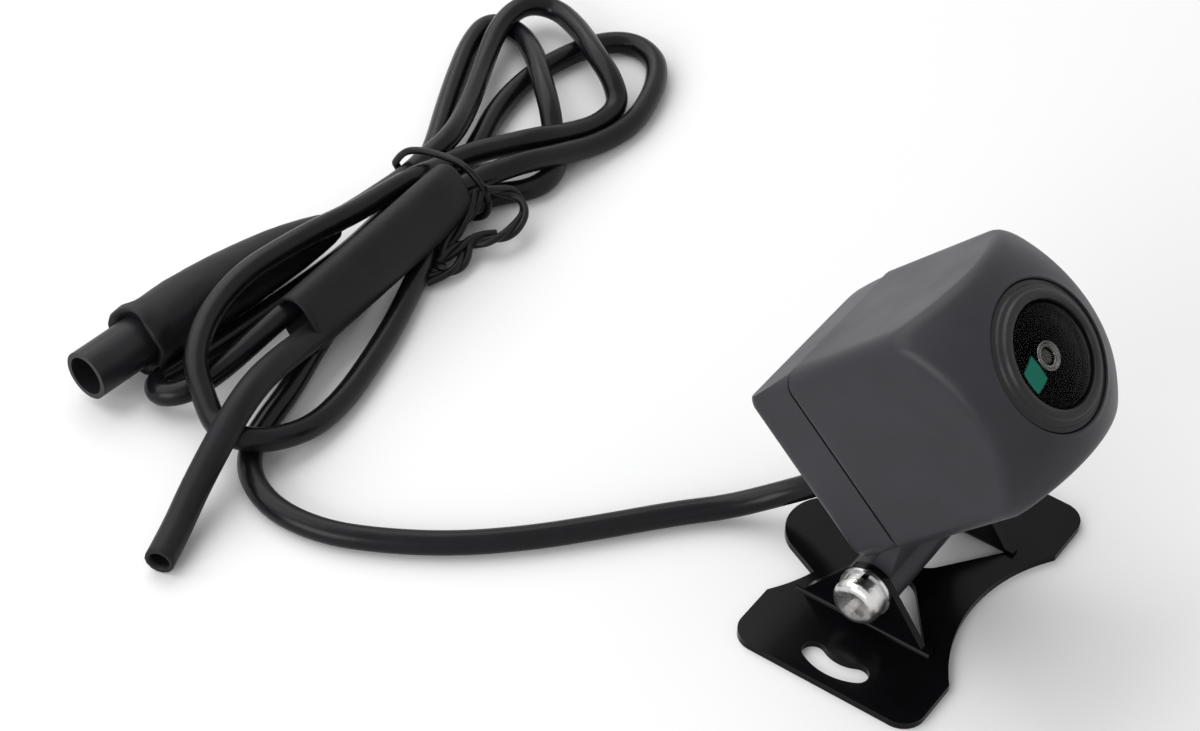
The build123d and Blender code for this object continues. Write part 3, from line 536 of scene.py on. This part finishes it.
def addPlugJacket():
    place, length = axisPlace(plugSize["front"], plugSize["rear"], plugSize["height"])
    outer = plugSize["radius"]
    profile = [(3.42, 6.0), (3.42, 0.4), (4.2, 0.0), (4.7, -0.5), (4.95, 0.1), (4.8, 1.2), (4.5, 2.6),
               (4.55, 4.5), (outer - 0.3, 8), (outer - 0.45, 13), (outer - 0.75, 18), (outer - 1.15, 23),
               (outer - 1.6, 27), (2.8, 30.5), (2.3, 32.8), (1.9, length - 0.2), (1.55, length)]
    shape = turnedShape(profile, 64, Matrix.Identity(4))
    rings = [edge for edge in shape.edges
             if abs(edge.verts[0].co.z - edge.verts[1].co.z) > plugSize["longEdge"] * mm]
    bmesh.ops.subdivide_edges(shape, edges=rings, cuts=3, use_grid_fill=True)
    for vertex in shape.verts:
        across = Vector((vertex.co.x, vertex.co.y, 0))
        if across.length > plugSize["bore"] * mm:
            station = vertex.co.z / mm
            lip = max(0.0, 1 - station / plugSize["lip"])
            depth = plugCrease["least"] + plugCrease["atLip"] * lip
            crease = noise.noise(vertex.co * plugCrease["scale"]) * depth
            flat = plugCrease["flat"] * math.cos(2 * math.atan2(vertex.co.y, vertex.co.x)) * (station > 0)
            vertex.co += across.normalized() * (crease + flat) * mm
            vertex.co.z += lip * plugCrease["lipWave"] * noise.noise(vertex.co * plugCrease["lipScale"]) * mm
    bmesh.ops.transform(shape, matrix=place, verts=shape.verts)
    start, end = plugSize["front"][0] * mm, plugSize["rear"][0] * mm
    for vertex in shape.verts:
        along = max((vertex.co.x - start) / (end - start), 0.0)
        vertex.co.x -= plugSize["sag"][0] * along ** 2 * mm
        vertex.co.y -= plugSize["sag"][1] * along ** 2 * mm
    piece = newPiece("plugJacket", shape, "heat_shrink", "bracket")
    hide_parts("connector_sleeve")
    return piece


plugJacket = addPlugJacket()

# ---- splice sleeve
sleeveSize = {"start": (-15.9, 82.7), "end": (18.6, 83.5), "height": 7.0, "half": 4.4, "thick": 2.7,
              "wall": 0.45, "mouth": 9.0, "roll": -29, "squareness": 2.4, "lumps": 0.03}


def addSpliceSleeve():
    place, length = axisPlace(sleeveSize["start"], sleeveSize["end"], sleeveSize["height"])
    # radii are shares of the outline
    inner, mouth = 1 - sleeveSize["wall"] / 4, sleeveSize["mouth"]
    profile = [(0.001, mouth), (inner, mouth), (inner, 0.0), (1.0, 0.0),
               (1.0, 1.0), (1.0, 6), (0.995, 12), (0.985, 18), (0.975, 24), (0.965, 29), (0.95, length - 0.5),
               (0.88, length), (0.001, length)]
    drawn = 5.0
    shape = turnedShape([(radius * drawn, station) for radius, station in profile], 72, Matrix.Identity(4))
    power = 2 / sleeveSize["squareness"]   # the outline is a superellipse
    for vertex in shape.verts:
        angle = math.atan2(vertex.co.y, vertex.co.x)
        reach = Vector((vertex.co.x, vertex.co.y)).length / drawn
        c, s = math.cos(angle), math.sin(angle)
        x = math.copysign(abs(c) ** power, c) * sleeveSize["thick"] * reach
        y = math.copysign(abs(s) ** power, s) * sleeveSize["half"] * reach
        lump = 1 + sleeveSize["lumps"] * noise.noise(Vector((x * 80, y * 80, vertex.co.z * 90)))
        vertex.co.x, vertex.co.y = x * lump, y * lump
    turn = Matrix.Rotation(math.radians(sleeveSize["roll"]), 4, "Z")
    bmesh.ops.transform(shape, matrix=place @ turn, verts=shape.verts)
    piece = newPiece("spliceSleeve", shape, "heat_shrink", "bracket")
    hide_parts("splice_sleeve")
    return piece


spliceSleeve = addSpliceSleeve()

# ---- twist tie
tieSize = {"radius": 0.52, "twist": 0.42, "turnLength": 11.0, "floorGap": 0.02}
tieBand = [
    (20.4, 95.2, 4.6), (20.3, 94.0, 7.2), (20.7, 91.2, 8.7), (21.2, 88.0, 9.0), (21.0, 84.8, 9.6),
    (20.8, 81.8, 8.8), (20.9, 79.6, 6.2), (21.0, 79.4, 3.2), (21.0, 81.8, 0.7), (21.0, 87.0, 0.6),
    (20.8, 93.0, 0.6),
]
tieRoutes = [
    [(21.0, 80.4, 7.2), (23.0, 79.6, 5.8), (25.6, 78.4, 4.4), (24.4, 75.4, 3.4), (19.7, 74.5, 3.0),
     (16.9, 76.2, 2.6), (15.2, 78.6, 2.4), (11.6, 76.8, 1.8), (8.9, 77.5, 1.4), (6.0, 79.6, 1.1)],
    [(20.4, 80.8, 6.8), (18.6, 80.0, 5.2), (15.0, 80.2, 3.8), (11.4, 80.2, 2.6), (9.0, 79.4, 1.6),
     (9.6, 77.9, 1.4)],
    [(18.2, 76.0, 2.9), (15.4, 78.4, 2.8), (12.1, 79.2, 2.4), (9.1, 79.8, 1.8)],
]


def addTie():
    joined = bmesh.new()
    band = asMesh(cordSpline("band", tieBand + tieBand[:1], tieSize["radius"], 3, True), "band")
    joined.from_mesh(band)
    bpy.data.meshes.remove(band)
    for route in tieRoutes:
        line = lineOf(route)
        total = lengthOf(line)
        for side in (0, math.pi):
            strand = []
            for index, point in enumerate(line[::2]):
                ahead = line[min(2 * index + 1, len(line) - 1)]
                behind = line[max(2 * index - 1, 0)]
                forward = (ahead - behind).normalized()
                sideways = forward.cross(Vector((0, 0, 1))).normalized()
                over = sideways.cross(forward)
                walked = total * index / (len(line) / 2)
                angle = math.tau * walked / (tieSize["turnLength"] * mm) + side
                offset = (math.cos(angle) * sideways + math.sin(angle) * over) * tieSize["twist"]
                strand.append(tuple(point / mm + offset))
            wire = asMesh(cordSpline("wire", strand, tieSize["radius"], 3, True), "wire")
            joined.from_mesh(wire)
            bpy.data.meshes.remove(wire)
    lowest = min(vertex.co.z for vertex in joined.verts)
    for vertex in joined.verts:
        vertex.co.z = max(vertex.co.z, tieSize["floorGap"] * mm)
    print("tie lowest point", round(lowest / mm, 2), "mm")
    piece = newPiece("twistTie", joined, "tie_plastic", "bracket")
    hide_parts("twist_tie")
    return piece


twistTie = addTie()
print("cords laid")


# ---- floor and light
# a camera, mirror or glass ray sees the white studio; other light from it is dimmer
studio = {"floorHalf": 3.0, "ambient": 0.45, "seen": 1.0}
lamps = [
    ("topBox", (0.0, 0.60, 0.68), (1.4, 0.9), 7.6),
    ("sideBox", (-0.85, 0.12, 0.32), (0.6, 0.5), 4.4),
]
lampTarget = (0, 0.03, 0.01)


def addStage():
    shape = bmesh.new()
    bmesh.ops.create_grid(shape, x_segments=1, y_segments=1, size=studio["floorHalf"])
    mesh = bpy.data.meshes.new("floor")
    shape.to_mesh(mesh)
    shape.free()
    floor = bpy.data.objects.new("floor", mesh)
    bpy.context.scene.collection.objects.link(floor)
    paper = Finish("floorPaper")
    paper.put(Base_Color=paper.blendColour(paper.grain(3), (0.93, 0.93, 0.935), (0.94, 0.94, 0.945)), Roughness=0.9)
    paper.shader.inputs["Specular IOR Level"].default_value = 0.1
    mesh.materials.append(paper.data)
    world = bpy.data.worlds.new("studio")
    bpy.context.scene.world = world
    world.use_nodes = True
    tree = world.node_tree
    background = tree.nodes["Background"]
    rays = tree.nodes.new("ShaderNodeLightPath")
    most = tree.nodes.new("ShaderNodeMath")
    most.operation = "MAXIMUM"
    again = tree.nodes.new("ShaderNodeMath")
    again.operation = "MAXIMUM"
    tree.links.new(rays.outputs["Is Camera Ray"], most.inputs[0])
    tree.links.new(rays.outputs["Is Glossy Ray"], most.inputs[1])
    tree.links.new(most.outputs[0], again.inputs[0])
    tree.links.new(rays.outputs["Is Transmission Ray"], again.inputs[1])
    level = tree.nodes.new("ShaderNodeMapRange")
    level.inputs["To Min"].default_value = studio["ambient"]
    level.inputs["To Max"].default_value = studio["seen"]
    tree.links.new(again.outputs[0], level.inputs["Value"])
    background.inputs["Color"].default_value = (1, 1, 1, 1)
    tree.links.new(level.outputs[0], background.inputs["Strength"])


def addLamp(name, place, size, power):
    data = bpy.data.lights.new(name, "AREA")
    data.shape = "RECTANGLE"
    data.size, data.size_y = size
    data.energy = power
    lamp = bpy.data.objects.new(name, data)
    lamp.location = place
    lamp.rotation_euler = (Vector(lampTarget) - Vector(place)).to_track_quat("-Z", "Y").to_euler()
    bpy.context.scene.collection.objects.link(lamp)


addStage()
for lamp in lamps:
    addLamp(*lamp)
bpy.context.scene.view_settings.view_transform = "Standard"
print("stage and lamps set")
